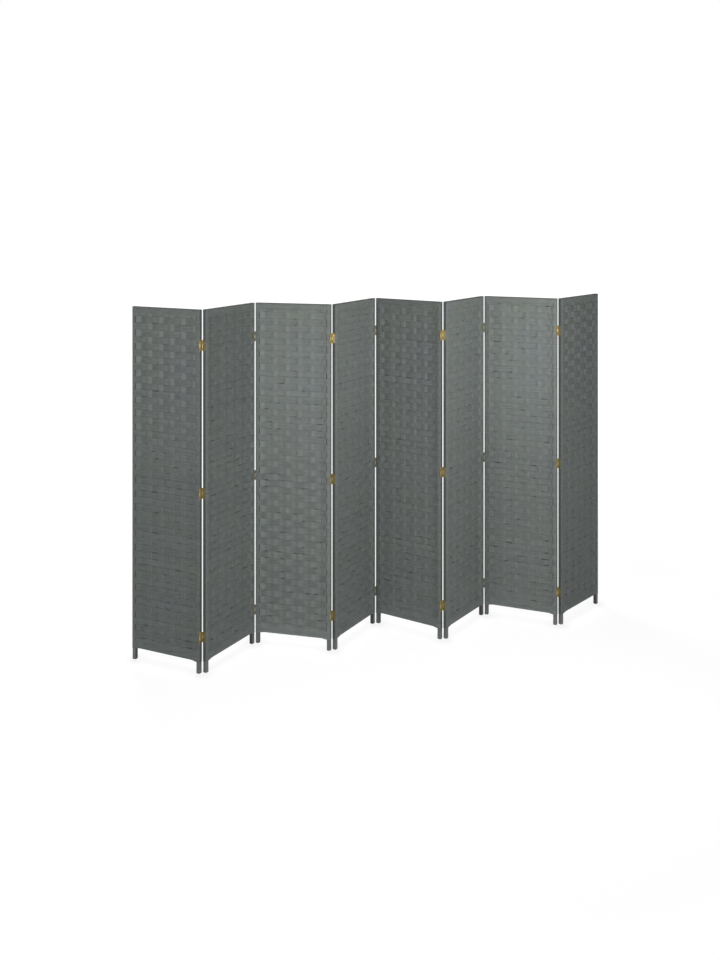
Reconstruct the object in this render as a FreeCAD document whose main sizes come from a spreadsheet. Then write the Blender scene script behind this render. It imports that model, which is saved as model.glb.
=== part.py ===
import FreeCAD, Part
import os
import Sketcher
from FreeCAD import Placement, Rotation, Vector

# A free-standing folding screen of eight woven panels on two-way hinges.
# Row frame: +X runs along the screen from left to right, -Y is the front, +Z is up.
# The origin is on the floor, in the middle of the rectangle that the standing screen covers.

doc = FreeCAD.newDocument("folding_screen")
sheet = doc.addObject("Spreadsheet::Sheet", "size")

# Driving dimensions: millimetres, degrees and one count.
DRIVING_DIMENSIONS = (
    ("panel_width", 401, "one panel, over its woven edges"),
    ("screen_height", 1740, "floor to the top edge"),
    ("stile_side", 19, "square section of stiles, legs and rails"),
    ("wrap", 1, "cord layer round stiles and rails"),
    ("edge_round", 2, "long edges of a stile"),
    ("foot_round", 2.5, "bottom edges of a leg"),
    ("leg_height", 60, "floor to the lower edge of the weave"),
    ("sleeve_drop", 5, "how much lower the cord goes round the legs"),
    ("gusset_run", 24, "length of the slanted edge beside a leg"),
    ("tenon_length", 6, "rail tenon"),
    ("tenon_side", 8, "rail tenon"),
    ("field_thickness", 8, "weave between the stiles"),
    ("slope_run", 16, "from the full thickness down to the field"),
    ("slat_count", 6, "upright slats of a panel"),
    ("slat_inset", 34, "panel edge to the middle of the first slat"),
    ("slat_width", 24, "upright slat"),
    ("slat_thickness", 3, "upright slat"),
    ("slat_seat", 5, "slat end inside its rail"),
    ("fit_clearance", 0.1, "wood and cord beside wood"),
    ("joint_gap", 3, "between two panels in line"),
    ("hinge_height", 50, "leaf of a hinge"),
    ("hinge_inset", 172, "middle of the outer hinges, from floor and top"),
    ("middle_hinge_height", 860, "middle of the middle hinge, from the floor"),
    ("leaf_thickness", 0.9, "hinge leaf"),
    ("leaf_margin", 3.5, "panel face to the free edge of a leaf"),
    ("plate_thickness", 0.7, "centre plate of a hinge"),
    ("pin_diameter", 2.4, "hinge pin"),
    ("pin_standoff", 0.5, "panel face to the pin's axis"),
    ("pin_head_diameter", 3.6, "upset end of a pin"),
    ("pin_head_height", 1, "upset end of a pin"),
    ("running_clearance", 0.05, "pin in its knuckle, on the radius"),
    ("knuckle_wall", 0.8, "round the pin"),
    ("knuckle_gap", 0.2, "between knuckles, along the pin"),
    ("plate_clearance", 0.3, "hinge plate to the other plate's knuckle"),
    ("screw_diameter", 2.6, "wood screw"),
    ("screw_length", 12, "wood screw, with its head"),
    ("screw_tip", 2.5, "point of a wood screw"),
    ("screw_head_diameter", 4.6, "countersunk head"),
    ("screw_head_height", 0.75, "countersunk head"),
    ("screw_spacing", 16, "along a leaf"),
    ("screw_clearance", 0.05, "screw in its hole"),
    ("recess_length", 2.8, "cross recess of a screw"),
    ("recess_width", 0.5, "cross recess of a screw"),
    ("recess_depth", 0.5, "cross recess of a screw"),
    ("cut_overrun", 2, "how far a cutting shape passes a face"),
    ("heading_1", -42, "panels seen from above, anticlockwise from +X"),
    ("heading_2", 45, "panel 2"),
    ("heading_3", -31, "panel 3"),
    ("heading_4", 44, "panel 4"),
    ("heading_5", -50, "panel 5"),
    ("heading_6", 39.5, "panel 6"),
    ("heading_7", -39, "panel 7"),
    ("heading_8", 33.5, "panel 8"),
)
for row, (alias, amount, note) in enumerate(DRIVING_DIMENSIONS, start=1):
    sheet.set(f"A{row}", alias)
    sheet.set(f"B{row}", str(amount))
    sheet.set(f"C{row}", note)
    sheet.setAlias(f"B{row}", alias)
doc.recompute()

PANEL_COUNT = sum(1 for alias, _, _ in DRIVING_DIMENSIONS if alias.startswith("heading_"))
LEFT, RIGHT = -1, 1
FRONT, BACK = -1, 1
UP_AXIS = Vector(0, 0, 1)

# Sizes that follow from the driving dimensions. Each panel is made with its middle at X = 0.
THICKNESS = "(size.stile_side + 2 * size.wrap)"
STILE_PLACE = f"(size.panel_width / 2 - {THICKNESS} / 2)"
STILE_TOP = "(size.screen_height - size.wrap)"
RAIL_LENGTH = f"(2 * {STILE_PLACE} - size.stile_side - 2 * size.fit_clearance)"
LOW_RAIL = "(size.leg_height + size.wrap + size.stile_side / 2)"
HIGH_RAIL = f"({STILE_TOP} - size.stile_side / 2)"
SLAT_PITCH = "((size.panel_width - 2 * size.slat_inset) / (size.slat_count - 1))"
SLAT_FOOT = f"({LOW_RAIL} + size.stile_side / 2 - size.slat_seat + size.fit_clearance)"
SLAT_HEAD = f"({HIGH_RAIL} - size.stile_side / 2 + size.slat_seat - size.fit_clearance)"
SLEEVE_FOOT = "(size.leg_height - size.sleeve_drop)"
HINGE_LINE = "(size.panel_width / 2 + size.joint_gap / 2)"
HINGE_HEIGHTS = (
    "size.hinge_inset",
    "size.middle_hinge_height",
    "(size.screen_height - size.hinge_inset)",
)
PIN_OFFSET = f"({THICKNESS} / 2 + size.pin_standoff)"
BORE = "(size.pin_diameter / 2 + size.running_clearance)"
KNUCKLE = f"({BORE} + size.knuckle_wall)"
MIDDLE_KNUCKLE = "(size.hinge_height / 3)"
OUTER_KNUCKLE = f"((size.hinge_height - {MIDDLE_KNUCKLE}) / 2 - size.knuckle_gap)"
LEAF_FACE = "(size.joint_gap / 2 - size.leaf_thickness)"


def number(expression):
    return float(sheet.evalExpression(expression))


def bind(piece, **expressions):
    for prop, expression in expressions.items():
        piece.setExpression(prop, expression)
    return piece


def place(piece, x="0", y="0", z="0", turn=None):
    if turn is not None:
        piece.Placement = Placement(Vector(), turn)
    piece.setExpression("Placement.Base.x", x)
    piece.setExpression("Placement.Base.y", y)
    piece.setExpression("Placement.Base.z", z)
    return piece


def box(name, length, width, height, x="0", y="0", z="0"):
    """A box given by its three sizes and the place of its middle."""
    piece = bind(doc.addObject("Part::Box", name), Length=length, Width=width, Height=height)
    return place(piece, f"{x} - {length} / 2", f"{y} - {width} / 2", f"{z} - {height} / 2")


def cylinder(name, radius, height, x="0", y="0", z="0", turn=None):
    piece = bind(doc.addObject("Part::Cylinder", name), Radius=radius, Height=height)
    return place(piece, x, y, z, turn)


def cone(name, low_radius, high_radius, height, x="0", y="0", z="0", turn=None):
    piece = doc.addObject("Part::Cone", name)
    bind(piece, Radius1=low_radius, Radius2=high_radius, Height=height)
    return place(piece, x, y, z, turn)


def together(name, pieces):
    result = doc.addObject("Part::Compound", name)
    result.Links = list(pieces)
    return result


def fuse(name, *pieces):
    result = doc.addObject("Part::MultiFuse", name)
    result.Shapes = list(pieces)
    result.Refine = True
    return result


def cut(name, base, *tools):
    result = doc.addObject("Part::Cut", name)
    result.Base = base
    result.Tool = together(f"{name}_tools", tools)
    return result


def copy_of(piece, name, x="0", y="0", z="0", turn=None):
    link = doc.addObject("App::Link", name)
    link.LinkedObject = piece
    return place(link, x, y, z, turn)


def column(name, side, corner, height, foot="0"):
    """A square upright with rounded long edges, its axis on the local Z axis."""
    body = doc.addObject("PartDesign::Body", name)
    sketch = body.newObject("Sketcher::SketchObject", f"{name}_section")
    floor_plane = next(f for f in body.Origin.OriginFeatures if f.Role == "XY_Plane")
    sketch.AttachmentSupport = (floor_plane, [""])
    sketch.MapMode = "FlatFace"
    reach = number(side) / 2
    signs = ((-1, -1), (1, -1), (1, 1), (-1, 1))
    corners = [Vector(reach * a, reach * b, 0) for a, b in signs]
    for i, start in enumerate(corners):
        sketch.addGeometry(Part.LineSegment(start, corners[(i + 1) % len(corners)]), False)
    for i in range(len(corners)):
        following = (i + 1) % len(corners)
        sketch.addConstraint(Sketcher.Constraint("Coincident", i, 2, following, 1))
        sketch.addConstraint(Sketcher.Constraint("Vertical" if i % 2 else "Horizontal", i))
    sketch.addConstraint(Sketcher.Constraint("Symmetric", 0, 1, 1, 2, -1, 1))
    for i, kind in enumerate(("DistanceX", "DistanceY")):
        place_of = sketch.addConstraint(Sketcher.Constraint(kind, i, 1, i, 2, 2 * reach))
        sketch.setExpression(f"Constraints[{place_of}]", side)
    sketch.setExpression("AttachmentOffset.Base.z", foot)
    pad = body.newObject("PartDesign::Pad", f"{name}_pad")
    pad.Profile = (sketch, [""])
    pad.setExpression("Length", height)
    doc.recompute()
    half_height = number(height) / 2
    long_edges = [
        f"Edge{i}"
        for i, edge in enumerate(pad.Shape.Edges, start=1)
        if edge.BoundBox.ZLength > half_height
    ]
    rounding = body.newObject("PartDesign::Fillet", f"{name}_edges")
    rounding.Base = (pad, long_edges)
    rounding.setExpression("Radius", corner)
    doc.recompute()
    return body


HALF_TURN = Rotation(UP_AXIS, 180)
TURNED_OVER = Rotation(Vector(0, 1, 0), 180)
ALONG_X = Rotation(Vector(0, 1, 0), 90)


# Wood screw: countersunk, with a cross recess. Its axis is Z and its head's face is at Z = 0.
SCREW_RADIUS = "(size.screw_diameter / 2)"
HEAD_RADIUS = "(size.screw_head_diameter / 2)"
screw_head = cone(
    "screw_head", SCREW_RADIUS, HEAD_RADIUS, "size.screw_head_height", z="-size.screw_head_height"
)
screw_shank = cylinder(
    "screw_shank",
    SCREW_RADIUS,
    "(size.screw_length - size.screw_tip - size.screw_head_height)",
    z="size.screw_tip - size.screw_length",
)
screw_point = cone("screw_point", "0", SCREW_RADIUS, "size.screw_tip", z="-size.screw_length")
screw_blank = fuse("screw_blank", screw_head, screw_shank, screw_point)
recess = [
    box("recess_across", "size.recess_length", "size.recess_width", "(2 * size.recess_depth)"),
    box("recess_along", "size.recess_width", "size.recess_length", "(2 * size.recess_depth)"),
]
screw = cut("screw", screw_blank, *recess)

# The hinge line of a panel's right-hand end is the local Z axis here, and the panel is at X < 0.
# A left-hand end takes the same pieces, turned half round.
LEAF_SCREWS = (-1, 0, 1)
screw_heights = [
    f"({hinge} + {step} * size.screw_spacing)" for hinge in HINGE_HEIGHTS for step in LEAF_SCREWS
]
end_holes = [
    cylinder(
        f"screw_hole_{i}",
        f"({SCREW_RADIUS} + size.screw_clearance)",
        f"({LEAF_FACE} + size.screw_length + size.cut_overrun)",
        x=f"-({LEAF_FACE} + size.screw_length + size.screw_clearance)",
        z=height,
        turn=ALONG_X,
    )
    for i, height in enumerate(screw_heights, start=1)
]
holes = together("screw_holes", end_holes)

# Hinge leaf: a plate on the panel's edge with two knuckles round the pin at the panel's face.
# The middle of the hinge is at Z = 0.
leaf_plate = box(
    "leaf_plate",
    "size.leaf_thickness",
    f"({PIN_OFFSET} + {THICKNESS} / 2 - size.leaf_margin)",
    "size.hinge_height",
    x="-(size.joint_gap - size.leaf_thickness) / 2",
    y=f"({THICKNESS} / 2 - size.leaf_margin - {PIN_OFFSET}) / 2",
)
leaf_knuckles = [
    cylinder("low_knuckle", KNUCKLE, OUTER_KNUCKLE, y=f"-{PIN_OFFSET}", z="-size.hinge_height / 2"),
    cylinder(
        "high_knuckle",
        KNUCKLE,
        OUTER_KNUCKLE,
        y=f"-{PIN_OFFSET}",
        z=f"size.hinge_height / 2 - {OUTER_KNUCKLE}",
    ),
]
leaf_notch = box(
    "leaf_notch",
    "size.joint_gap",
    f"(2 * ({KNUCKLE} + size.plate_clearance))",
    f"({MIDDLE_KNUCKLE} + 2 * size.knuckle_gap)",
    x="-size.joint_gap / 2",
    y=f"-{PIN_OFFSET}",
)
leaf_bore = cylinder(
    "leaf_bore",
    BORE,
    "(size.hinge_height + 2 * size.cut_overrun)",
    y=f"-{PIN_OFFSET}",
    z="-size.hinge_height / 2 - size.cut_overrun",
)
notched_plate = cut("notched_plate", leaf_plate, leaf_notch)
leaf_cuts = [leaf_bore]
for step in LEAF_SCREWS:
    mark = LEAF_SCREWS.index(step)
    leaf_cuts.append(
        cylinder(
            f"leaf_hole_{mark}",
            f"({SCREW_RADIUS} + size.screw_clearance)",
            "(2 * size.joint_gap)",
            x="-size.joint_gap",
            z=f"{step} * size.screw_spacing",
            turn=ALONG_X,
        )
    )
    leaf_cuts.append(
        cone(
            f"countersink_{mark}",
            f"({SCREW_RADIUS} + size.screw_clearance)",
            f"({HEAD_RADIUS} + size.screw_clearance)",
            "size.screw_head_height",
            x=f"-({LEAF_FACE} + size.screw_head_height)",
            z=f"{step} * size.screw_spacing",
            turn=ALONG_X,
        )
    )
leaf = cut("leaf", fuse("leaf_blank", notched_plate, *leaf_knuckles), *leaf_cuts)

# Centre plate: it joins the front pin to the back pin, with one knuckle round each.
plate_web = box(
    "plate_web",
    "size.plate_thickness",
    f"(2 * ({PIN_OFFSET} - {KNUCKLE} - size.plate_clearance))",
    "size.hinge_height",
)
plate_arms = box("plate_arms", "size.plate_thickness", f"(2 * {PIN_OFFSET})", MIDDLE_KNUCKLE)
plate_knuckles = []
plate_bores = []
for side, word in ((FRONT, "front"), (BACK, "back")):
    plate_knuckles.append(
        cylinder(
            f"{word}_knuckle",
            KNUCKLE,
            MIDDLE_KNUCKLE,
            y=f"{side} * {PIN_OFFSET}",
            z=f"-{MIDDLE_KNUCKLE} / 2",
        )
    )
    plate_bores.append(
        cylinder(
            f"{word}_bore",
            BORE,
            "size.hinge_height",
            y=f"{side} * {PIN_OFFSET}",
            z="-size.hinge_height / 2",
        )
    )
centre_plate = cut(
    "centre_plate", fuse("plate_blank", plate_web, plate_arms, *plate_knuckles), *plate_bores
)

# Hinge pin: a rod with both ends upset over the knuckles.
PIN_REACH = "(size.hinge_height / 2 + size.knuckle_gap)"
pin = fuse(
    "pin",
    cylinder("pin_rod", "(size.pin_diameter / 2)", f"(2 * {PIN_REACH})", z=f"-{PIN_REACH}"),
    cone(
        "pin_top",
        "(size.pin_head_diameter / 2)",
        "(size.pin_diameter / 2)",
        "size.pin_head_height",
        z=PIN_REACH,
    ),
    cone(
        "pin_bottom",
        "(size.pin_diameter / 2)",
        "(size.pin_head_diameter / 2)",
        "size.pin_head_height",
        z=f"-({PIN_REACH} + size.pin_head_height)",
    ),
)

# Stile, with its leg: a square upright with a mortise for each rail in its inner side.
# It is made as the right-hand one, on its own axis. The left-hand one is turned half round.
stile_bar = column("stile_bar", "size.stile_side", "size.edge_round", STILE_TOP)
foot_height = number("size.foot_round")
foot_edges = [
    f"Edge{i}"
    for i, edge in enumerate(stile_bar.Shape.Edges, start=1)
    if edge.BoundBox.ZMax < foot_height
]
foot = stile_bar.newObject("PartDesign::Fillet", "stile_foot")
foot.Base = (stile_bar.getObject("stile_bar_edges"), foot_edges)
foot.setExpression("Radius", "size.foot_round")
doc.recompute()

MORTISE_SIDE = "(size.tenon_side + 2 * size.fit_clearance)"
MORTISE_DEPTH = "(size.tenon_length + size.fit_clearance)"
mortises = [
    box(
        f"{word}_mortise",
        f"(2 * {MORTISE_DEPTH})",
        MORTISE_SIDE,
        MORTISE_SIDE,
        x="-size.stile_side / 2",
        z=height,
    )
    for word, height in (("low", LOW_RAIL), ("high", HIGH_RAIL))
]
plain_stile = cut("plain_stile", stile_bar, *mortises)
stile_holes = copy_of(holes, "stile_holes", x=f"{HINGE_LINE} - {STILE_PLACE}")
hinged_stile = cut("hinged_stile", plain_stile, stile_holes)

# Rail: a square bar with a tenon at each end and a groove for each slat in its upper side.
# It is made as the bottom rail, on its own middle. The top one is turned over.
slat_places = [
    f"({i} * {SLAT_PITCH} + size.slat_inset - size.panel_width / 2)"
    for i in range(int(number("size.slat_count")))
]
rail_bar = box("rail_bar", RAIL_LENGTH, "size.stile_side", "size.stile_side")
tenons = box(
    "tenons", f"({RAIL_LENGTH} + 2 * size.tenon_length)", "size.tenon_side", "size.tenon_side"
)
grooves = [
    box(
        f"groove_{i}",
        "(size.slat_width + 2 * size.fit_clearance)",
        "(size.slat_thickness + 2 * size.fit_clearance)",
        "(2 * size.slat_seat)",
        x=across,
        z="size.stile_side / 2",
    )
    for i, across in enumerate(slat_places, start=1)
]
rail = cut("rail", fuse("rail_with_tenons", rail_bar, tenons), *grooves)

# Slats: thin upright strips that the cord is woven round. They stand in the rails' grooves.
slats = [
    box(
        f"slat_{i}",
        "size.slat_width",
        "size.slat_thickness",
        f"({SLAT_HEAD} - {SLAT_FOOT})",
        x=across,
        z=f"({SLAT_HEAD} + {SLAT_FOOT}) / 2",
    )
    for i, across in enumerate(slat_places, start=1)
]

# Weave: cord woven round the slats and wrapped round the stiles and rails.
# It is one closed piece, thick at its borders and thinner in the field between them.
sleeve = column(
    "sleeve",
    THICKNESS,
    "size.edge_round + size.wrap",
    f"size.screen_height - {SLEEVE_FOOT}",
    SLEEVE_FOOT,
)
slab = box(
    "weave_slab",
    f"(2 * {STILE_PLACE})",
    THICKNESS,
    "(size.screen_height - size.leg_height)",
    z="(size.screen_height + size.leg_height) / 2",
)


def slanted_hollow(side):
    """The shallow space before or behind the field, with slanted borders."""
    wedge = doc.addObject("Part::Wedge", f"hollow_{'front' if side == FRONT else 'back'}")
    half_width = f"(size.panel_width / 2 - {THICKNESS})"
    foot = f"(size.leg_height + {THICKNESS})"
    head = f"(size.screen_height - {THICKNESS})"
    bind(
        wedge,
        Xmin=f"size.slope_run - {half_width}",
        Xmax=f"{half_width} - size.slope_run",
        Zmin=f"{foot} + size.slope_run",
        Zmax=f"{head} - size.slope_run",
        X2min=f"-{half_width}",
        X2max=half_width,
        Z2min=foot,
        Z2max=head,
        Ymin="0",
        Ymax=f"({THICKNESS} - size.field_thickness) / 2",
    )
    turn = HALF_TURN if side == FRONT else None
    return place(wedge, y=f"{side} * size.field_thickness / 2", turn=turn)


def gusset(side):
    """The slanted lower edge of the weave beside a leg."""
    wedge = doc.addObject("Part::Wedge", f"gusset_{'left' if side == LEFT else 'right'}")
    low_end = f"{THICKNESS} / 2"
    high_end = f"({THICKNESS} / 2 + size.gusset_run)"
    bind(
        wedge,
        Xmin="0" if side == LEFT else f"-{low_end}",
        Xmax=low_end if side == LEFT else "0",
        X2min="0" if side == LEFT else f"-{high_end}",
        X2max=high_end if side == LEFT else "0",
        Ymin="0",
        Ymax="size.sleeve_drop",
        Zmin="0",
        Zmax=THICKNESS,
        Z2min="0",
        Z2max=THICKNESS,
    )
    upright = Rotation(Vector(1, 0, 0), 90)
    return place(wedge, f"{side} * {STILE_PLACE}", f"{THICKNESS} / 2", SLEEVE_FOOT, upright)


sleeves = [
    copy_of(sleeve, "sleeve_left", x=f"-{STILE_PLACE}"),
    copy_of(sleeve, "sleeve_right", x=STILE_PLACE),
]
weave_body = fuse("weave_body", slab, *sleeves, gusset(LEFT), gusset(RIGHT))

CAVITY_SIDE = "(size.stile_side + 2 * size.fit_clearance)"
stile_space = column(
    "stile_space",
    CAVITY_SIDE,
    "size.edge_round + size.fit_clearance",
    f"{STILE_TOP} + size.fit_clearance",
)
stile_spaces = [
    copy_of(stile_space, "stile_space_left", x=f"-{STILE_PLACE}"),
    copy_of(stile_space, "stile_space_right", x=STILE_PLACE),
]
rail_spaces = [
    box(f"{word}_rail_space", f"(2 * {STILE_PLACE})", CAVITY_SIDE, CAVITY_SIDE, z=height)
    for word, height in (("low", LOW_RAIL), ("high", HIGH_RAIL))
]
slat_spaces = [
    box(
        f"slat_space_{i}",
        "(size.slat_width + 2 * size.fit_clearance)",
        "(size.slat_thickness + 2 * size.fit_clearance)",
        f"({HIGH_RAIL} - {LOW_RAIL})",
        x=across,
        z=f"({HIGH_RAIL} + {LOW_RAIL}) / 2",
    )
    for i, across in enumerate(slat_places, start=1)
]
spaces = fuse("weave_spaces", *stile_spaces, *rail_spaces, *slat_spaces)
hollow_weave = cut("hollow_weave", weave_body, slanted_hollow(FRONT), slanted_hollow(BACK), spaces)
right_holes = copy_of(holes, "right_holes", x=HINGE_LINE)
left_holes = copy_of(holes, "left_holes", x=f"-{HINGE_LINE}", turn=HALF_TURN)
end_weave = cut("end_weave", hollow_weave, right_holes)
middle_weave = cut("middle_weave", hollow_weave, right_holes, left_holes)

# The pieces of one panel, each in its place with the panel's middle at X = 0.
panel_stiles = {
    (RIGHT, True): copy_of(hinged_stile, "right_hinged_stile", x=STILE_PLACE),
    (LEFT, True): copy_of(hinged_stile, "left_hinged_stile", x=f"-{STILE_PLACE}", turn=HALF_TURN),
    (RIGHT, False): copy_of(plain_stile, "right_plain_stile", x=STILE_PLACE),
    (LEFT, False): copy_of(plain_stile, "left_plain_stile", x=f"-{STILE_PLACE}", turn=HALF_TURN),
}
panel_rails = [
    copy_of(rail, "low_rail", z=LOW_RAIL),
    copy_of(rail, "high_rail", z=HIGH_RAIL, turn=TURNED_OVER),
]
panel_leaves = {LEFT: [], RIGHT: []}
panel_screws = {LEFT: [], RIGHT: []}
for side, word, turn in ((LEFT, "left", HALF_TURN), (RIGHT, "right", None)):
    facing = ALONG_X if turn is None else turn.multiply(ALONG_X)
    for i, height in enumerate(HINGE_HEIGHTS, start=1):
        line = f"{side} * {HINGE_LINE}"
        panel_leaves[side].append(copy_of(leaf, f"{word}_leaf_{i}", line, "0", height, turn))
    for i, height in enumerate(screw_heights, start=1):
        face = f"{side} * ({HINGE_LINE} - {LEAF_FACE})"
        panel_screws[side].append(copy_of(screw, f"{word}_screw_{i}", face, "0", height, facing))

# The pieces that link two panels, on the hinge line.
link_plates = [
    copy_of(centre_plate, f"link_plate_{i}", z=height)
    for i, height in enumerate(HINGE_HEIGHTS, start=1)
]
link_pins = [
    copy_of(pin, f"{word}_pin_{i}", "0", f"{side} * {PIN_OFFSET}", height)
    for side, word in ((FRONT, "front"), (BACK, "back"))
    for i, height in enumerate(HINGE_HEIGHTS, start=1)
]


# Where each panel and link stands. A panel that folds back turns about the back pins of its
# hinges, and one that folds forward turns about the front pins.
def turned_about(side, angle):
    axis = Vector(0, side * number(PIN_OFFSET), 0)
    return Placement(axis, Rotation(UP_AXIS, angle)) * Placement(-axis, Rotation())


headings = [number(f"size.heading_{i}") for i in range(1, PANEL_COUNT + 1)]
to_hinge_line = Placement(Vector(number(HINGE_LINE), 0, 0), Rotation())
panel_places = [Placement(Vector(), Rotation(UP_AXIS, headings[0]))]
link_places = []
for i in range(1, PANEL_COUNT):
    fold = headings[i] - headings[i - 1]
    hinge_line = panel_places[-1] * to_hinge_line
    if fold > 0:
        link_places.append(hinge_line)
        next_end = hinge_line * turned_about(BACK, fold)
    else:
        next_end = hinge_line * turned_about(FRONT, fold)
        link_places.append(next_end)
    panel_places.append(next_end * to_hinge_line)

# The named sub-parts.
subparts = []


def subpart(label, pieces, where):
    result = together(label, pieces)
    result.Label = label
    result.Placement = where
    subparts.append(result)


for i, where in enumerate(panel_places, start=1):
    hinged_left = i > 1
    hinged_right = i < PANEL_COUNT
    stiles = [panel_stiles[LEFT, hinged_left], panel_stiles[RIGHT, hinged_right]]
    ends = [side for side, hinged in ((LEFT, hinged_left), (RIGHT, hinged_right)) if hinged]
    subpart(f"frame_{i}", stiles + panel_rails, where)
    subpart(f"slats_{i}", slats, where)
    if hinged_left and hinged_right:
        subpart(f"weave_{i}", [middle_weave], where)
    elif hinged_right:
        subpart(f"weave_{i}", [end_weave], where)
    else:
        subpart(f"weave_{i}", [end_weave], where * Placement(Vector(), HALF_TURN))
    subpart(f"hinge_leaves_{i}", [piece for side in ends for piece in panel_leaves[side]], where)
    subpart(f"hinge_screws_{i}", [piece for side in ends for piece in panel_screws[side]], where)
for i, where in enumerate(link_places, start=1):
    subpart(f"centre_plates_{i}", link_plates, where)
    subpart(f"hinge_pins_{i}", link_pins, where)
doc.recompute()

# The origin moves to the middle of the floor rectangle that the screen covers.
extent = FreeCAD.BoundBox()
for result in subparts:
    extent.add(result.Shape.optimalBoundingBox(True, False))
to_origin = Placement(Vector(-extent.Center.x, -extent.Center.y, 0), Rotation())
for result in subparts:
    result.Placement = to_origin * result.Placement
doc.recompute()

faults = [
    f"{piece.Label}: {piece.State}"
    for piece in doc.Objects
    if "Invalid" in piece.State or "Error" in piece.State
]
for result in subparts:
    if result.Shape.isNull() or not result.Shape.isValid() or not result.Shape.Solids:
        faults.append(f"{result.Label}: bad shape")
if faults:
    raise RuntimeError("; ".join(faults))

os.makedirs("parts", exist_ok=True)
for result in subparts:
    result.Shape.exportStep(f"parts/{result.Label}.step")
    volume = result.Shape.Volume
    print(f"{result.Label}: {len(result.Shape.Solids)} solids, {volume:.0f} cubic millimetres")
for i, where in enumerate(link_places, start=1):
    front, back = (
        (to_origin * where).multVec(Vector(0, side * number(PIN_OFFSET), 0)) for side in (FRONT, BACK)
    )
    print(f"pins of joint {i}: front {front.x:.6f} {front.y:.6f}, back {back.x:.6f} {back.y:.6f}")
print(f"size {extent.XLength:.3f} {extent.YLength:.3f} {extent.ZLength:.3f}")
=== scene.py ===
import math

import bpy
import numpy as np
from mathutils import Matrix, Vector


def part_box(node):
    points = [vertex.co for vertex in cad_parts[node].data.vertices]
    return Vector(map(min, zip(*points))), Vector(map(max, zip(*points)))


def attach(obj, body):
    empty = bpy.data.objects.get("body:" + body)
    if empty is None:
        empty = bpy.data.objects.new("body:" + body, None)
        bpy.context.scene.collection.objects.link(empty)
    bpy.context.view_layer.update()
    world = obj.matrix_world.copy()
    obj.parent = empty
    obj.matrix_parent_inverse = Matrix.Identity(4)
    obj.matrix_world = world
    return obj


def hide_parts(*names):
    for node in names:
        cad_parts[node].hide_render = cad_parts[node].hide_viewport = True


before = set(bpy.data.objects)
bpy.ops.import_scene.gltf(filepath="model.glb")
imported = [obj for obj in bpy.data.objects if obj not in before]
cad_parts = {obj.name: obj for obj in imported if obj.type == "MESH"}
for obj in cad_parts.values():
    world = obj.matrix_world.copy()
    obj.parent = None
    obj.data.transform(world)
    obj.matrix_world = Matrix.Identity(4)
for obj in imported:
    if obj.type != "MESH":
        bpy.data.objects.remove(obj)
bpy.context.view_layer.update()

# ---- Frames ----
# Each panel's frame is four square softwood bars: two stiles that run down into the legs, and two rails.
# They were planed, rounded on their edges and brushed with matt grey-green paint. Only the legs show.

# Where a colour mix takes its two colours, and where it gives the result.
COLOUR_A, COLOUR_B, COLOUR_OUT = 6, 7, 2


def painted(hex_colour):
    """The linear colour that a shader takes, from a colour written as sRGB hex."""
    parts = [int(hex_colour[i:i + 2], 16) / 255 for i in (1, 3, 5)]
    return [c / 12.92 if c <= 0.04045 else ((c + 0.055) / 1.055) ** 2.4 for c in parts] + [1.0]


def add(tree, kind, inputs=None, **settings):
    """One node with its settings. A value, a socket or a node's first output goes to each input."""
    node = tree.nodes.new(kind)
    for name, value in settings.items():
        setattr(node, name, value)
    for name, value in (inputs or {}).items():
        if isinstance(value, bpy.types.Node):
            value = value.outputs[0]
        if isinstance(value, bpy.types.NodeSocket):
            tree.links.new(value, node.inputs[name])
        else:
            node.inputs[name].default_value = value
    return node


def start_finish(name):
    """A new material with its nodes and shader, and the place on the piece in metres."""
    material = bpy.data.materials.new(name)
    material.use_nodes = True
    tree = material.node_tree
    place = add(tree, "ShaderNodeTexCoord").outputs["Object"]
    return material, tree, tree.nodes["Principled BSDF"], place


def repeat_mm(x, y, z):
    """The scale of a mapping for a pattern that repeats at these real sizes, in millimetres."""
    return 1000 / x, 1000 / y, 1000 / z


def dress(nodes, material):
    """Gives CAD nodes their finish."""
    for name in nodes:
        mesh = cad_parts[name].data
        mesh.materials.clear()
        mesh.materials.append(material)


# Matt alkyd paint on planed pine: dull and even, with the grain's ridges just felt through it.
# The grain is 2 mm wide and 90 mm long, and the brush left streaks 14 mm wide. The sides of the legs
# that look at each other under a panel are darkened with painted shade. They are where the distance
# from the panel's middle, in metres, times how far the surface faces away from it, is well below zero.
SHADE_FROM, SHADE_AT = -0.11, -0.15

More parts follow.
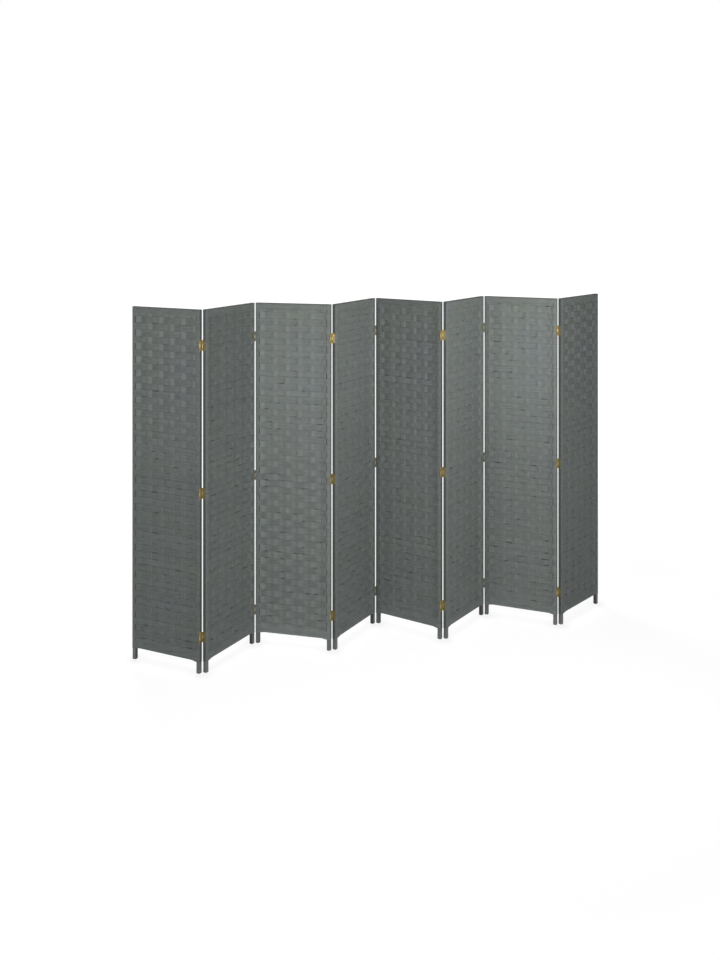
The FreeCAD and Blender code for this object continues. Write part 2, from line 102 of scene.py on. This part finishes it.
# The panels from left to right, and which way each one's width points in the zigzag, in degrees.
PANELS = range(1, 9)
HEADINGS = (-42, 45, -31, 44, -50, 39.5, -39, 33.5)
for i, heading in zip(PANELS, HEADINGS):
    leg_paint, tree, shader, place = start_finish(f"matt_paint_on_pine_{i}")
    grain_size = add(tree, "ShaderNodeMapping", {"Vector": place, "Scale": repeat_mm(2, 2, 90)})
    grain = add(tree, "ShaderNodeTexNoise", {"Vector": grain_size, "Scale": 1, "Detail": 3})
    streaks_size = add(tree, "ShaderNodeMapping", {"Vector": place, "Scale": repeat_mm(14, 14, 60)})
    streaks = add(tree, "ShaderNodeTexNoise", {"Vector": streaks_size, "Scale": 1, "Detail": 2})
    coat = add(tree, "ShaderNodeMix", {
        0: streaks, COLOUR_A: painted("#5d615f"), COLOUR_B: painted("#737775")}, data_type="RGBA")
    low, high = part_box(f"frame_{i}")
    to_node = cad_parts[f"frame_{i}"].matrix_world.inverted()
    middle = to_node @ ((Vector(low) + Vector(high)) / 2)
    angle = math.radians(heading)
    along = to_node.to_3x3() @ Vector((math.cos(angle), math.sin(angle), 0))
    from_middle = add(tree, "ShaderNodeVectorMath", {0: place, 1: middle}, operation="SUBTRACT")
    side = add(tree, "ShaderNodeVectorMath", {0: from_middle, 1: along}, operation="DOT_PRODUCT")
    normal = add(tree, "ShaderNodeTexCoord").outputs["Normal"]
    facing = add(tree, "ShaderNodeVectorMath", {0: normal, 1: along}, operation="DOT_PRODUCT")
    outward = add(tree, "ShaderNodeMath", {
        0: side.outputs["Value"], 1: facing.outputs["Value"]}, operation="MULTIPLY")
    # Painted shade on the legs' inner sides, which face each other under the panel.
    inner_shade = add(tree, "ShaderNodeMapRange", {
        "Value": outward, "From Min": SHADE_FROM, "From Max": SHADE_AT})
    paint = add(tree, "ShaderNodeMix", {
        0: inner_shade, COLOUR_A: coat.outputs[COLOUR_OUT], COLOUR_B: painted("#343736")}, data_type="RGBA")
    tree.links.new(paint.outputs[COLOUR_OUT], shader.inputs["Base Color"])
    shader.inputs["Roughness"].default_value = 0.6
    ridges = add(tree, "ShaderNodeBump", {"Height": grain, "Strength": 0.35, "Distance": 0.0004})
    tree.links.new(ridges.outputs[0], shader.inputs["Normal"])
    dress([f"frame_{i}"], leg_paint)

# ---- Slats ----
# Six thin wooden strips stand in grooves in each panel's rails, and the cord is woven round them.
# They were painted before weaving and are covered by upright cords, so they show only when taken out.

# The same paint, rolled on thinly, so that the strip's sawn grain shows as 3 mm streaks.
slat_paint, tree, shader, place = start_finish("thin_paint_on_sawn_strip")
sawn_size = add(tree, "ShaderNodeMapping", {"Vector": place, "Scale": repeat_mm(3, 3, 120)})
sawn = add(tree, "ShaderNodeTexNoise", {"Vector": sawn_size, "Scale": 1, "Detail": 4})
coat = add(tree, "ShaderNodeMix", {
    0: sawn, COLOUR_A: painted("#6c706d"), COLOUR_B: painted("#8a8e8a")}, data_type="RGBA")
tree.links.new(coat.outputs[COLOUR_OUT], shader.inputs["Base Color"])
shader.inputs["Roughness"].default_value = 0.7
dress([f"slats_{i}" for i in PANELS], slat_paint)

# ---- Woven cord ----
# Paper cord, dyed grey-green, is woven by hand round the slats and wrapped round the stiles and rails.
# Each row is six cords high. It passes over one slat and under the next, and the next row the other way.

# The outline of a panel's weave, in millimetres: half its width and thickness at the border, the round
# of its edges, its top and foot, and how low the sleeves of cord round the legs go, past their slant.
HALF_WIDTH, HALF_BORDER, CORNER = 200.5, 10.5, 3
TOP, FOOT, SLEEVE_FOOT = 1740, 60, 55
SLANT_START, SLANT_END = 155.5, 179.5

# The border's inner side, from the panel's middle line: it steps down to the field where the last slat
# is covered by upright cord, and slopes down where the weft passes over it, and beside the rails.
STEP_START, STEP_RUN, SLOPE_START = 179, 2.4, 168
RAIL_SIDE, RAIL_SLOPE = 21, 24

# Rows of six cords, between a band of three cords below and one of two above.
ROW, ROW_CORDS, ROWS = 33, 6, 50
LOW_BAND, LOW_CORDS, HIGH_CORDS = 17, 3, 2
SLATS, SLAT_PITCH, HALF_SLAT = 6, 66.6, 12

# How far the surfaces lie from the panel's middle plane: the weft swings to both sides of it, and the
# upright cord over a slat drops at the slat's sides and leans out to the border on the last slats.
WEFT_SWING, HALF_CORD, SLAT_COVER, COVER_DROP, END_LEAN = 1.6, 2.4, 2.1, 0.8, 7.5

# How deep the grooves between cords are, and the seams between rows, with what an open seam gains for
# each millimetre of its gap. A row's outer cords curve in, and a web of cord stays in the middle.
GROOVE, SEAM, OPEN_SEAM, END_SEAM, FIRST_CURVE, WEB = 1, 1.1, 2, 1.5, 0.35, 0.3

# The wrap round the border stands proud of the solid, and its grooves are shallower. Painted shade
# darkens it over a few millimetres below the top, and round each side edge, from its front corner to its
# back one.
EDGE_PROUD, EDGE_RIPPLE, TOP_SHADE_RUN, EDGE_SIDE_SHADE = 0.4, 0.5, 6, (0.1, 0.7, 1, 0.7, 0.1)

# How a row's seams wander up and down, and how far they open to each side: snug at the slats, tight
# at the border, and now and then wide between two slats, most of all in the lower rows.
WANDER, WANDER_KNOTS, WANDER_END, WANDER_RUN = 0.55, 9, 175, 8
SNUG, TIGHT, CLOSED, WIDEST, LESS_ABOVE, RARITY = 0.3, 0.2, 0.25, 2.3, 1.2, 6
BESIDE_SLAT, BORDER_MIDDLE, OPEN_FROM = 20, 190, 0.7

# The share that a whole check and a single cord have in the tone, and the heights between which the
# painted light of a panel's lower part turns into that of its upper part.
CELL_TONE, CORD_TONE = 0.3, 0.8
LOWER_UP_TO, UPPER_FROM = 700, 1500

# The seam lines between rows, and the columns of points across a panel. The columns are close together
# where the surface steps at a slat's sides, with three between two slats and three at each border.
BESIDE, WITHIN, INNER = HALF_SLAT + 0.6, HALF_SLAT - 0.2, 4
BETWEEN, BORDER_COLUMNS = (0.22, 0.5, 0.78), [181.5, 188, HALF_WIDTH - CORNER]
row_edges = np.concatenate([[FOOT], FOOT + LOW_BAND + ROW * np.arange(ROWS + 1), [TOP]])
row_cords = [LOW_CORDS] + [ROW_CORDS] * ROWS + [HIGH_CORDS]
slat_x = (np.arange(SLATS) - (SLATS - 1) / 2) * SLAT_PITCH
across = [-x for x in BORDER_COLUMNS[::-1]]
for i, x in enumerate(slat_x):
    across += [x - BESIDE, x - WITHIN, x - INNER, x + INNER, x + WITHIN, x + BESIDE]
    if i < SLATS - 1:
        across += [x + HALF_SLAT + (SLAT_PITCH - 2 * HALF_SLAT) * share for share in BETWEEN]
across = np.array(across + BORDER_COLUMNS)

# Where two faces of the skin meet at more than this angle, in degrees, the edge between them is sharp.
SHARP = 75


def ease(value):
    """Goes from 0 to 1 as the value does, with a soft start and end."""
    value = np.clip(value, 0, 1)
    return value * value * (3 - 2 * value)


def woven_skin(name, seed, upper, lower):
    """The outside of one panel's weave, as rings of points from the bottom edge to the top.

    Upper and lower are the panel's painted light and shade above and below, in steps that the cord's
    finish takes.
    """
    rng = np.random.default_rng(seed)
    count = len(across)
    rows = len(row_cords)
    edge = np.abs(across)
    zero = np.zeros(count)

    # How far the weft swings to the front at each place of each row, how it rises to the next slat, and
    # which columns lie on a slat, and at its sides.
    at_slats = np.array([[1 if (s + r + 1) % 2 else -1 for s in range(SLATS)] for r in range(rows)])
    swing = np.zeros((rows, count))
    on_slat = np.full(count, -1)
    at_slat_side = np.zeros(count)
    rise = np.zeros((rows, count))
    for c, x in enumerate(across):
        s = int(np.clip(np.floor((x - slat_x[0]) / SLAT_PITCH), 0, SLATS - 2))
        share = ease((x - slat_x[s] - HALF_SLAT) / (SLAT_PITCH - 2 * HALF_SLAT))
        swing[:, c] = at_slats[:, s] * (1 - share) + at_slats[:, s + 1] * share
        rise[:, c] = (at_slats[:, s + 1] - at_slats[:, s]) * share * (1 - share) * 2
        near = int(np.argmin(np.abs(slat_x - x)))
        if abs(x - slat_x[near]) < HALF_SLAT:
            on_slat[c] = near
            at_slat_side[c] = abs(x - slat_x[near]) > (INNER + WITHIN) / 2

    def face(side):
        """Thickness from the middle, and the share of upright cord, for each row of one face."""
        weft = side * WEFT_SWING * swing + HALF_CORD
        shows = (on_slat >= 0) & (side * at_slats[:, on_slat] < 0)
        end_shows = side * np.where(across < 0, at_slats[:, :1], at_slats[:, -1:]) < 0
        wide = ease((edge - SLOPE_START) / (SLANT_END - SLOPE_START))
        narrow = ease((edge - STEP_START) / STEP_RUN)
        cover = SLAT_COVER - COVER_DROP * at_slat_side
        cover = cover + END_LEAN * ease((edge - SLANT_START) / (SLANT_END - SLANT_START))
        return np.where(shows, cover, weft), shows * 1.0, np.where(end_shows, narrow, wide)

    def seams():
        """How much each seam between two rows wanders and gapes along the panel."""
        knots = np.linspace(-SLANT_END, SLANT_END, WANDER_KNOTS)
        places = np.concatenate([
            slat_x[:-1] + BESIDE_SLAT, slat_x[1:] - BESIDE_SLAT,
            slat_x, [-BORDER_MIDDLE, BORDER_MIDDLE]])
        order = np.argsort(places)
        wander = np.zeros((rows + 1, count))
        gape = np.full((rows + 1, count), CLOSED)
        still = 1 - ease((edge - WANDER_END) / WANDER_RUN)
        for r in range(1, rows):
            wander[r] = np.interp(across, knots, rng.normal(0, WANDER, WANDER_KNOTS)) * still
            widest = WIDEST - LESS_ABOVE * r / rows
            between_slats = SNUG + widest * rng.random(2 * (SLATS - 1)) ** RARITY
            openings = np.concatenate([between_slats, np.full(SLATS, SNUG), [TIGHT, TIGHT]])
            gape[r] = np.interp(across, places[order], openings[order])
        return wander, gape

    def stack(side):
        """Points of one face: for each level its heights, depths, upright shares, tones and painted
        shade.
        """
        body, shows, beside = face(side)
        wander, gape = seams()
        flare = np.clip((edge - SLANT_START) / (SLANT_END - SLANT_START), 0, 1)
        lines = row_edges[:, None] + wander
        lines[0] -= (FOOT - SLEEVE_FOOT) * flare
        cell = np.digitize(across, np.sort(np.concatenate([slat_x - HALF_SLAT, slat_x + HALF_SLAT])))
        cell_tone = rng.normal(0, 1, (rows, cell.max() + 1))[:, cell]
        # How much painted shade each open seam gets, from how wide it gapes.
        gap = np.clip((gape - OPEN_FROM) / OPEN_FROM, 0, 1) * (edge < SLANT_START)
        z, depth, upright, tone, gap_shades = [], [], [], [], []

        def level(height, thickness, r, ripple, cord_tone, gap_shade):
            rail = np.maximum(
                1 - ease((height - FOOT - RAIL_SIDE) / RAIL_SLOPE),
                1 - ease((TOP - RAIL_SIDE - height) / RAIL_SLOPE))
            border = 1 - (1 - rail) * (1 - beside[r])
            up = shows[r] * (1 - border)
            z.append(height)
            weave_depth = (1 - border) * thickness + border * (HALF_BORDER + EDGE_PROUD)
            depth.append(weave_depth - ripple * (1 - up) * (1 - border * (1 - EDGE_RIPPLE)))
            upright.append(up)
            # The tone carries painted light: each panel's lightness, the uprights' sheen, and light on
            # the weft's bulges and slopes.
            above = ease((height - LOWER_UP_TO) / (UPPER_FROM - LOWER_UP_TO))
            shade, paler, bulge, leaning = (above * u + (1 - above) * v for u, v in zip(upper, lower))
            over = bulge * np.maximum(side * swing[r], 0) + leaning * side * rise[r]
            tone.append(cord_tone + shade + paler * up + over * (1 - border))
            # Painted shade in the open seams, away from upright cord and rails.
            gap_shades.append(gap_shade * (1 - up) * (1 - rail))

        for r, cords in enumerate(row_cords):
            under = body[r] if r == 0 else np.minimum(body[r], body[r - 1])
            depth_of_seam = SEAM + OPEN_SEAM * (gape[r] - SNUG) if r else END_SEAM
            seam_depth = np.maximum(under, WEB + depth_of_seam)
            level(lines[r], seam_depth, r, depth_of_seam, cell_tone[r] - 1, gap[r])
            low, high = lines[r] + gape[r], lines[r + 1] - gape[r + 1]
            cord_tones = rng.normal(0, 1, cords)
            steps = [(0, FIRST_CURVE, 0)]
            steps += [((i + 1) / (2 * cords), GROOVE * (i % 2), i // 2) for i in range(2 * cords - 1)]
            steps.append((1, FIRST_CURVE, cords - 1))
            for share, ripple, cord in steps:
                beside_gap = gap[r] if share == 0 else gap[r + 1] if share == 1 else zero
                cord_tone = cell_tone[r] * CELL_TONE + cord_tones[cord] * CORD_TONE
                level(low + share * (high - low), body[r], r, ripple, cord_tone, beside_gap)
        level(lines[-1], body[-1], rows - 1, END_SEAM, cell_tone[-1], zero)
        return [np.array(a) for a in (z, depth, upright, tone, gap_shades)]

    # How deep the grooves are round the outer edges, level by level, less what the wrap stands proud.
    ripples = []
    for r, cords in enumerate(row_cords):
        cord_ripples = [GROOVE * (i % 2) for i in range(2 * cords - 1)]
        ripples += [SEAM if r else END_SEAM, FIRST_CURVE] + cord_ripples + [FIRST_CURVE]
    ripples = np.array(ripples + [END_SEAM])[:, None] * EDGE_RIPPLE - EDGE_PROUD
    levels = len(ripples)

    # The bend round an outer edge: which way its points face, and where they lie between front and back.
    turn = np.radians([45, 90, 90, 90, 135])
    through = np.array([-1, -1, 0, 1, 1]) * (HALF_BORDER - CORNER)
    bend = len(turn)
    bend_x = HALF_WIDTH - CORNER + (CORNER - ripples) * np.sin(turn)
    bend_y = through - (CORNER - ripples) * np.cos(turn)
    bend_upright = np.zeros_like(bend_x)
    bend_shade = bend_upright + EDGE_SIDE_SHADE

    def ring_of(front, back, right=None, left=None):
        """Values along the front, round the right edge, along the back and round the left edge."""
        if right is None:
            right, left = np.repeat(front[:, -1:], bend, axis=1), np.repeat(back[:, :1], bend, axis=1)
        return np.hstack([front, right, back[:, ::-1], left])

    front_z, front_y, front_upright, front_tone, front_shade = stack(1)
    back_z, back_y, back_upright, back_tone, back_shade = stack(-1)
    columns = np.ones((levels, 1)) * across
    x = ring_of(columns, columns, bend_x, -bend_x)
    y = ring_of(-front_y, back_y, bend_y, -bend_y)
    z = ring_of(front_z, back_z)
    upright = ring_of(front_upright, back_upright, bend_upright, bend_upright)
    tone = ring_of(front_tone, back_tone)
    # Painted shade below the top edge, round the side edges and in the open seams.
    top_shade = ease((z[:, :1] - TOP + TOP_SHADE_RUN) / TOP_SHADE_RUN)
    painted_shade = ring_of(front_shade, back_shade, bend_shade, bend_shade) * (1 - top_shade) + top_shade

    # Walls between each ring and the next, and lids of strips from front to back at the foot and top.
    ring = x.shape[1]
    corner = np.arange(levels - 1)[:, None] * ring + np.arange(ring)
    following = np.arange(levels - 1)[:, None] * ring + (np.arange(ring) + 1) % ring
    walls = np.stack([corner, following, following + ring, corner + ring], axis=-1)
    faces = walls.reshape(-1, 4).tolist()
    top = (levels - 1) * ring
    back_end = 2 * count + bend - 1
    for i in range(count - 1):
        behind = back_end - i
        faces.append([i, behind, behind - 1, i + 1])
        faces.append([top + i, top + i + 1, top + behind - 1, top + behind])
    right = list(range(count - 1, count + bend + 1))
    left = list(range(back_end, ring)) + [0]
    for end in (right, left):
        faces.append(end[::-1])
        faces.append([top + i for i in end])

    mesh = bpy.data.meshes.new(name)
    points = np.stack([x, y, z], axis=-1).reshape(-1, 3) / 1000
    mesh.from_pydata(points.tolist(), [], faces)
    for label, values in (("upright", upright), ("tone", tone), ("painted_shade", painted_shade)):
        attribute = mesh.attributes.new(label, "FLOAT", "POINT")
        attribute.data.foreach_set("value", values.ravel().astype(np.float32))
    mesh.shade_smooth()
    mesh.set_sharp_from_angle(angle=math.radians(SHARP))
    mesh.update()
    return mesh


# Dyed twisted paper cord: dry and dull, and a little lighter where upright cords face out, a painted
# sheen.
# Each cord is 5.5 mm thick with a twist of 4 mm, and flatter upright cords lie 4.8 mm apart. The dye
# takes unevenly over 260 mm, and a worn stretch of one cord, 45 mm long, is darker. Painted shade
# darkens the sides, the top edge and the gaps between loose rows.
cord, tree, shader, place = start_finish("dyed_twisted_paper_cord")
upright = add(tree, "ShaderNodeAttribute", attribute_name="upright").outputs["Fac"]
tone = add(tree, "ShaderNodeAttribute", attribute_name="tone").outputs["Fac"]
stretches_size = add(tree, "ShaderNodeMapping", {"Vector": place, "Scale": repeat_mm(45, 45, 5.5)})
stretches = add(tree, "ShaderNodeTexNoise", {
    "Vector": stretches_size, "Scale": 1, "Detail": 2, "Roughness": 0.6})
shade = add(tree, "ShaderNodeMath", {0: tone, 1: 0.07, 2: stretches}, operation="MULTIPLY_ADD")
weft_colour = add(tree, "ShaderNodeMix", {
    0: shade, COLOUR_A: painted("#626665"), COLOUR_B: painted("#888d8b")}, data_type="RGBA")
# The upright cords' colour is a little lighter than the weft's, a painted sheen.
up_colour = add(tree, "ShaderNodeMix", {
    0: shade, COLOUR_A: painted("#6a6f6d"), COLOUR_B: painted("#898e8b")}, data_type="RGBA")
colour = add(tree, "ShaderNodeMix", {
    0: upright, COLOUR_A: weft_colour.outputs[COLOUR_OUT], COLOUR_B: up_colour.outputs[COLOUR_OUT]},
    data_type="RGBA")
dye_size = add(tree, "ShaderNodeMapping", {"Vector": place, "Scale": repeat_mm(260, 260, 200)})
dye = add(tree, "ShaderNodeTexNoise", {"Vector": dye_size, "Scale": 1, "Detail": 1})
uneven = add(tree, "ShaderNodeMapRange", {"Value": dye, "From Min": 0.35, "From Max": 0.65})
cast = add(tree, "ShaderNodeMix", {
    0: uneven, COLOUR_A: painted("#fbfdff"), COLOUR_B: painted("#fdfff9")}, data_type="RGBA")
dyed = add(tree, "ShaderNodeMix", {
    0: 1.0, COLOUR_A: colour.outputs[COLOUR_OUT], COLOUR_B: cast.outputs[COLOUR_OUT]},
    data_type="RGBA", blend_type="MULTIPLY")
# Painted shade: the sides, the top edge and the open seams darken towards this dark grey-green.
side_shade = add(tree, "ShaderNodeAttribute", attribute_name="painted_shade").outputs["Fac"]
sides = add(tree, "ShaderNodeMix", {
    0: side_shade, COLOUR_A: dyed.outputs[COLOUR_OUT], COLOUR_B: painted("#515553")}, data_type="RGBA")
tree.links.new(sides.outputs[COLOUR_OUT], shader.inputs["Base Color"])
shader.inputs["Roughness"].default_value = 0.78
shader.inputs["Specular IOR Level"].default_value = 0.35
twist_size = add(tree, "ShaderNodeMapping", {"Vector": place, "Scale": repeat_mm(4, 4, 5.5)})
twist = add(tree, "ShaderNodeTexWave", {
    "Vector": twist_size, "Scale": 0.5, "Distortion": 1.5, "Detail": 1},
    wave_type="BANDS", bands_direction="DIAGONAL")
between_size = add(tree, "ShaderNodeMapping", {"Vector": place, "Scale": repeat_mm(4.8, 4.8, 4.8)})
between = add(tree, "ShaderNodeTexWave", {
    "Vector": between_size, "Scale": 0.5, "Distortion": 0.2},
    wave_type="BANDS", bands_direction="X")
pressed = add(tree, "ShaderNodeMath", {0: between.outputs["Fac"], 1: 0.5}, operation="MULTIPLY")
standing = add(tree, "ShaderNodeMix", {0: upright, 2: twist.outputs["Fac"], 3: pressed})
relief = add(tree, "ShaderNodeBump", {"Height": standing, "Strength": 0.8, "Distance": 0.001})
tree.links.new(relief.outputs[0], shader.inputs["Normal"])

# Painted light and shade, at the top and at the foot of each panel: how pale it is, how much paler its
# upright cords are than its weft, and how much paler the weft is over a slat and where it rises to one.
UPPER_PAINTED_LIGHT = (
    (-2.1, 3.4, 0, -2.2), (-0.7, -6, -2.6, 0), (3.9, 1.9, 1.5, 1.2), (2.6, -3.2, -0.3, 0),
    (-2.5, 0.3, 0.6, -1.2), (2.7, 0, -0.7, 0.6), (4.4, 0.4, 0.3, 0), (-2.6, -4, -3, 4.6))
LOWER_PAINTED_LIGHT = (
    (-3.4, -3.2, 0.4, 0), (-0.1, -6, -1.8, 0), (3, -0.4, -4, 0), (-1, -2.9, -1.3, 0),
    (-2.6, -3.1, 0.3, 0), (-0.2, 0, 0, 0), (0.6, -2.9, -1.3, 0), (-2.4, -1, 0.9, 0))
FIRST_SEED = 101
for i, heading, upper, lower in zip(PANELS, HEADINGS, UPPER_PAINTED_LIGHT, LOWER_PAINTED_LIGHT):
    low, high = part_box(f"frame_{i}")
    mesh = woven_skin(f"woven_cord_{i}", FIRST_SEED + i - PANELS[0], upper, lower)
    skin = bpy.data.objects.new(f"woven_cord_{i}", mesh)
    skin.data.materials.append(cord)
    bpy.context.scene.collection.objects.link(skin)
    skin.location = ((low.x + high.x) / 2, (low.y + high.y) / 2, 0)
    skin.rotation_euler = (0, 0, math.radians(heading))
    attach(skin, f"panel_{i}")
    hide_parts(f"weave_{i}")

# ---- Hinge leaves ----
# Each leaf is pressed from 0.9 mm steel sheet, rolled into two knuckles, and plated brass.
# Three screws hold it on the panel's edge, through the cord into the stile.

# Satin brass plating: a warm metal, kept darker than the centre plates as painted shade, and darkened by
# tarnish in patches of about 9 mm where it is not touched, with fine lines 0.6 mm apart from the sheet's
# rolling.
brass_sheet, tree, shader, place = start_finish("satin_brass_plating")
patches_size = add(tree, "ShaderNodeMapping", {"Vector": place, "Scale": repeat_mm(9, 9, 9)})
patches = add(tree, "ShaderNodeTexNoise", {"Vector": patches_size, "Scale": 1, "Detail": 3})
lines_size = add(tree, "ShaderNodeMapping", {"Vector": place, "Scale": repeat_mm(0.6, 0.6, 12)})
lines = add(tree, "ShaderNodeTexNoise", {"Vector": lines_size, "Scale": 1, "Detail": 1})
# Painted shade: the leaves are darker than the centre plates of the same plating.
tarnish_and_shade = add(tree, "ShaderNodeMix", {
    0: patches, COLOUR_A: painted("#675c3d"), COLOUR_B: painted("#a4976b")}, data_type="RGBA")
tree.links.new(tarnish_and_shade.outputs[COLOUR_OUT], shader.inputs["Base Color"])
shader.inputs["Metallic"].default_value = 1
worn = add(tree, "ShaderNodeMapRange", {"Value": patches, "To Min": 0.3, "To Max": 0.45})
tree.links.new(worn.outputs[0], shader.inputs["Roughness"])
rolling = add(tree, "ShaderNodeBump", {"Height": lines, "Strength": 0.2, "Distance": 0.0001})
tree.links.new(rolling.outputs[0], shader.inputs["Normal"])
dress([f"hinge_leaves_{i}" for i in PANELS], brass_sheet)

# ---- Hinge screws ----
# Countersunk wood screws with a cross recess, turned from wire and plated like the leaves.
# Three are driven through each leaf and the cord into pilot holes in the stile.

# Bright brass plating on a turned head: smoother than the sheet, with rings 0.3 mm apart.
brass_screw, tree, shader, place = start_finish("bright_plated_screw")
turning_size = add(tree, "ShaderNodeMapping", {"Vector": place, "Scale": repeat_mm(0.3, 0.3, 0.3)})
turning = add(tree, "ShaderNodeTexNoise", {"Vector": turning_size, "Scale": 1, "Detail": 1})
shader.inputs["Base Color"].default_value = painted("#b6aa80")
shader.inputs["Metallic"].default_value = 1
shader.inputs["Roughness"].default_value = 0.24
rings = add(tree, "ShaderNodeBump", {"Height": turning, "Strength": 0.1, "Distance": 0.0001})
tree.links.new(rings.outputs[0], shader.inputs["Normal"])
dress([f"hinge_screws_{i}" for i in PANELS], brass_screw)

# ---- Centre plates ----
# A plate with a knuckle on each long edge stands in the gap between two panels.
# It was pressed from the same sheet as the leaves, and lets the panels fold both ways.

# The same plating, lighter than the leaves as a painted highlight on the knuckle, with worn spots of 12
# mm.
highlight_sheet, tree, shader, place = start_finish("brass_plating_painted_highlight")
spots_size = add(tree, "ShaderNodeMapping", {"Vector": place, "Scale": repeat_mm(12, 12, 12)})
spots = add(tree, "ShaderNodeTexNoise", {"Vector": spots_size, "Scale": 1, "Detail": 2})
highlight_and_wear = add(tree, "ShaderNodeMix", {
    0: spots, COLOUR_A: painted("#9f9166"), COLOUR_B: painted("#cabd92")}, data_type="RGBA")
tree.links.new(highlight_and_wear.outputs[COLOUR_OUT], shader.inputs["Base Color"])
shader.inputs["Metallic"].default_value = 1
shader.inputs["Roughness"].default_value = 0.3
LINKS = range(1, 8)
dress([f"centre_plates_{i}" for i in LINKS], highlight_sheet)

# ---- Hinge pins ----
# Drawn 2.4 mm rod through the knuckles, with both ends upset so that it stays in. Each hinge has one at
# the front face and one at the back, and the panels turn on them.

# Drawn brass rod: the smoothest of the metals here, rubbed bright at the ends.
brass_rod, tree, shader, place = start_finish("drawn_brass_rod")
drawn_size = add(tree, "ShaderNodeMapping", {"Vector": place, "Scale": repeat_mm(0.4, 0.4, 20)})
drawn = add(tree, "ShaderNodeTexNoise", {"Vector": drawn_size, "Scale": 1, "Detail": 1})
rubbed = add(tree, "ShaderNodeMix", {
    0: drawn, COLOUR_A: painted("#aa9e72"), COLOUR_B: painted("#cec5a4")}, data_type="RGBA")
tree.links.new(rubbed.outputs[COLOUR_OUT], shader.inputs["Base Color"])
shader.inputs["Metallic"].default_value = 1
shader.inputs["Roughness"].default_value = 0.2
dress([f"hinge_pins_{i}" for i in LINKS], brass_rod)

# ---- Studio ----
# A plain white floor and surroundings, soft lamps on both sides in front and one behind, and the
# photograph's camera. The floor keeps a faint shadow near the screen, and has a thin painted shadow
# under each panel.


def looked_at(tree):
    """Is 1 where the camera, a reflection or glass looks, and 0 for light that falls on the screen."""
    ray = add(tree, "ShaderNodeLightPath")
    direct = add(tree, "ShaderNodeMath", {
        0: ray.outputs["Is Camera Ray"], 1: ray.outputs["Is Glossy Ray"]}, operation="MAXIMUM")
    return add(tree, "ShaderNodeMath", {
        0: direct, 1: ray.outputs["Is Transmission Ray"]}, operation="MAXIMUM")


# White lacquered board. Up to 2 m from the screen's middle a fifth of what is seen is its dull surface
# with the lamps' shadows, and the rest is plain white, which is all that is seen beyond 4 m.
floor_paint = bpy.data.materials.new("white_studio_floor")
floor_paint.use_nodes = True
tree = floor_paint.node_tree
tree.nodes.clear()
seen = looked_at(tree)
reach = add(tree, "ShaderNodeVectorMath", {
    0: add(tree, "ShaderNodeNewGeometry").outputs["Position"]}, operation="LENGTH")
plain = add(tree, "ShaderNodeMapRange", {
    "Value": reach.outputs["Value"], "From Min": 2, "From Max": 4, "To Min": 0.8, "To Max": 1})
share = add(tree, "ShaderNodeMath", {0: seen, 1: plain}, operation="MULTIPLY")
dull = add(tree, "ShaderNodeBsdfDiffuse", {"Color": painted("#e6e6e6")})

# A thin painted shadow: the white is weaker where a panel's foot is nearer than about 70 mm.
close = add(tree, "ShaderNodeAmbientOcclusion", {"Distance": 0.072}, samples=8)
strength = add(tree, "ShaderNodeMapRange", {
    "Value": close.outputs["AO"], "From Min": 0.9, "From Max": 0.98, "To Min": 1.03, "To Max": 1.13})
white = add(tree, "ShaderNodeEmission", {"Color": painted("#ffffff"), "Strength": strength})
mixed = add(tree, "ShaderNodeMixShader", {0: share, 1: dull, 2: white})
add(tree, "ShaderNodeOutputMaterial", {"Surface": mixed})
bpy.ops.mesh.primitive_plane_add(size=60, location=(0, 0, 0))
floor = bpy.context.object
floor.name = "studio_floor"
floor.data.materials.append(floor_paint)

# White surroundings: plain white where they are seen, and hardly any light on the screen.
world = bpy.data.worlds.new("studio")
bpy.context.scene.world = world
world.use_nodes = True
tree = world.node_tree
tree.nodes.clear()
seen = looked_at(tree)
lighting = add(tree, "ShaderNodeBackground", {"Color": painted("#ffffff"), "Strength": 0.06})
white = add(tree, "ShaderNodeBackground", {"Color": painted("#ffffff"), "Strength": 1})
mixed = add(tree, "ShaderNodeMixShader", {0: seen, 1: lighting, 2: white})
add(tree, "ShaderNodeOutputWorld", {"Surface": mixed})

SCREEN_MIDDLE = Vector((0, 0, 0.9))


def soft_lamp(name, place, size, watts):
    """A round lamp that shines on the middle of the screen, with sizes in metres."""
    lamp = bpy.data.lights.new(name, "AREA")
    lamp.shape, lamp.size, lamp.energy = "DISK", size, watts
    holder = bpy.data.objects.new(name, lamp)
    bpy.context.scene.collection.objects.link(holder)
    holder.location = place
    holder.visible_camera = False
    direction = SCREEN_MIDDLE - Vector(place)
    holder.rotation_euler = direction.to_track_quat("-Z", "Y").to_euler()


soft_lamp("left_lamp", place=(-2.7, -2.2, 2.3), size=1.2, watts=47)
soft_lamp("right_lamp", place=(1.2, -1.9, 2.4), size=0.8, watts=23)
soft_lamp("low_lamp", place=(0.3, -2, 1.3), size=0.6, watts=12.5)
soft_lamp("back_lamp", place=(-0.4, 4, 2.4), size=3, watts=190)

# The lens, its shift and its place were worked out from the panels' corners in the photograph.
lens = bpy.data.cameras.new("camera")
lens.lens, lens.sensor_width = 40.05, 36
lens.shift_x, lens.shift_y = -0.0208, -0.289
camera = bpy.data.objects.new("camera", lens)
bpy.context.scene.collection.objects.link(camera)
camera.location = (-1.605, -5.319, 2.252)
camera.rotation_euler = (math.radians(90), 0, math.radians(-16.53))
bpy.context.scene.camera = camera
bpy.context.scene.view_settings.view_transform = "Standard"
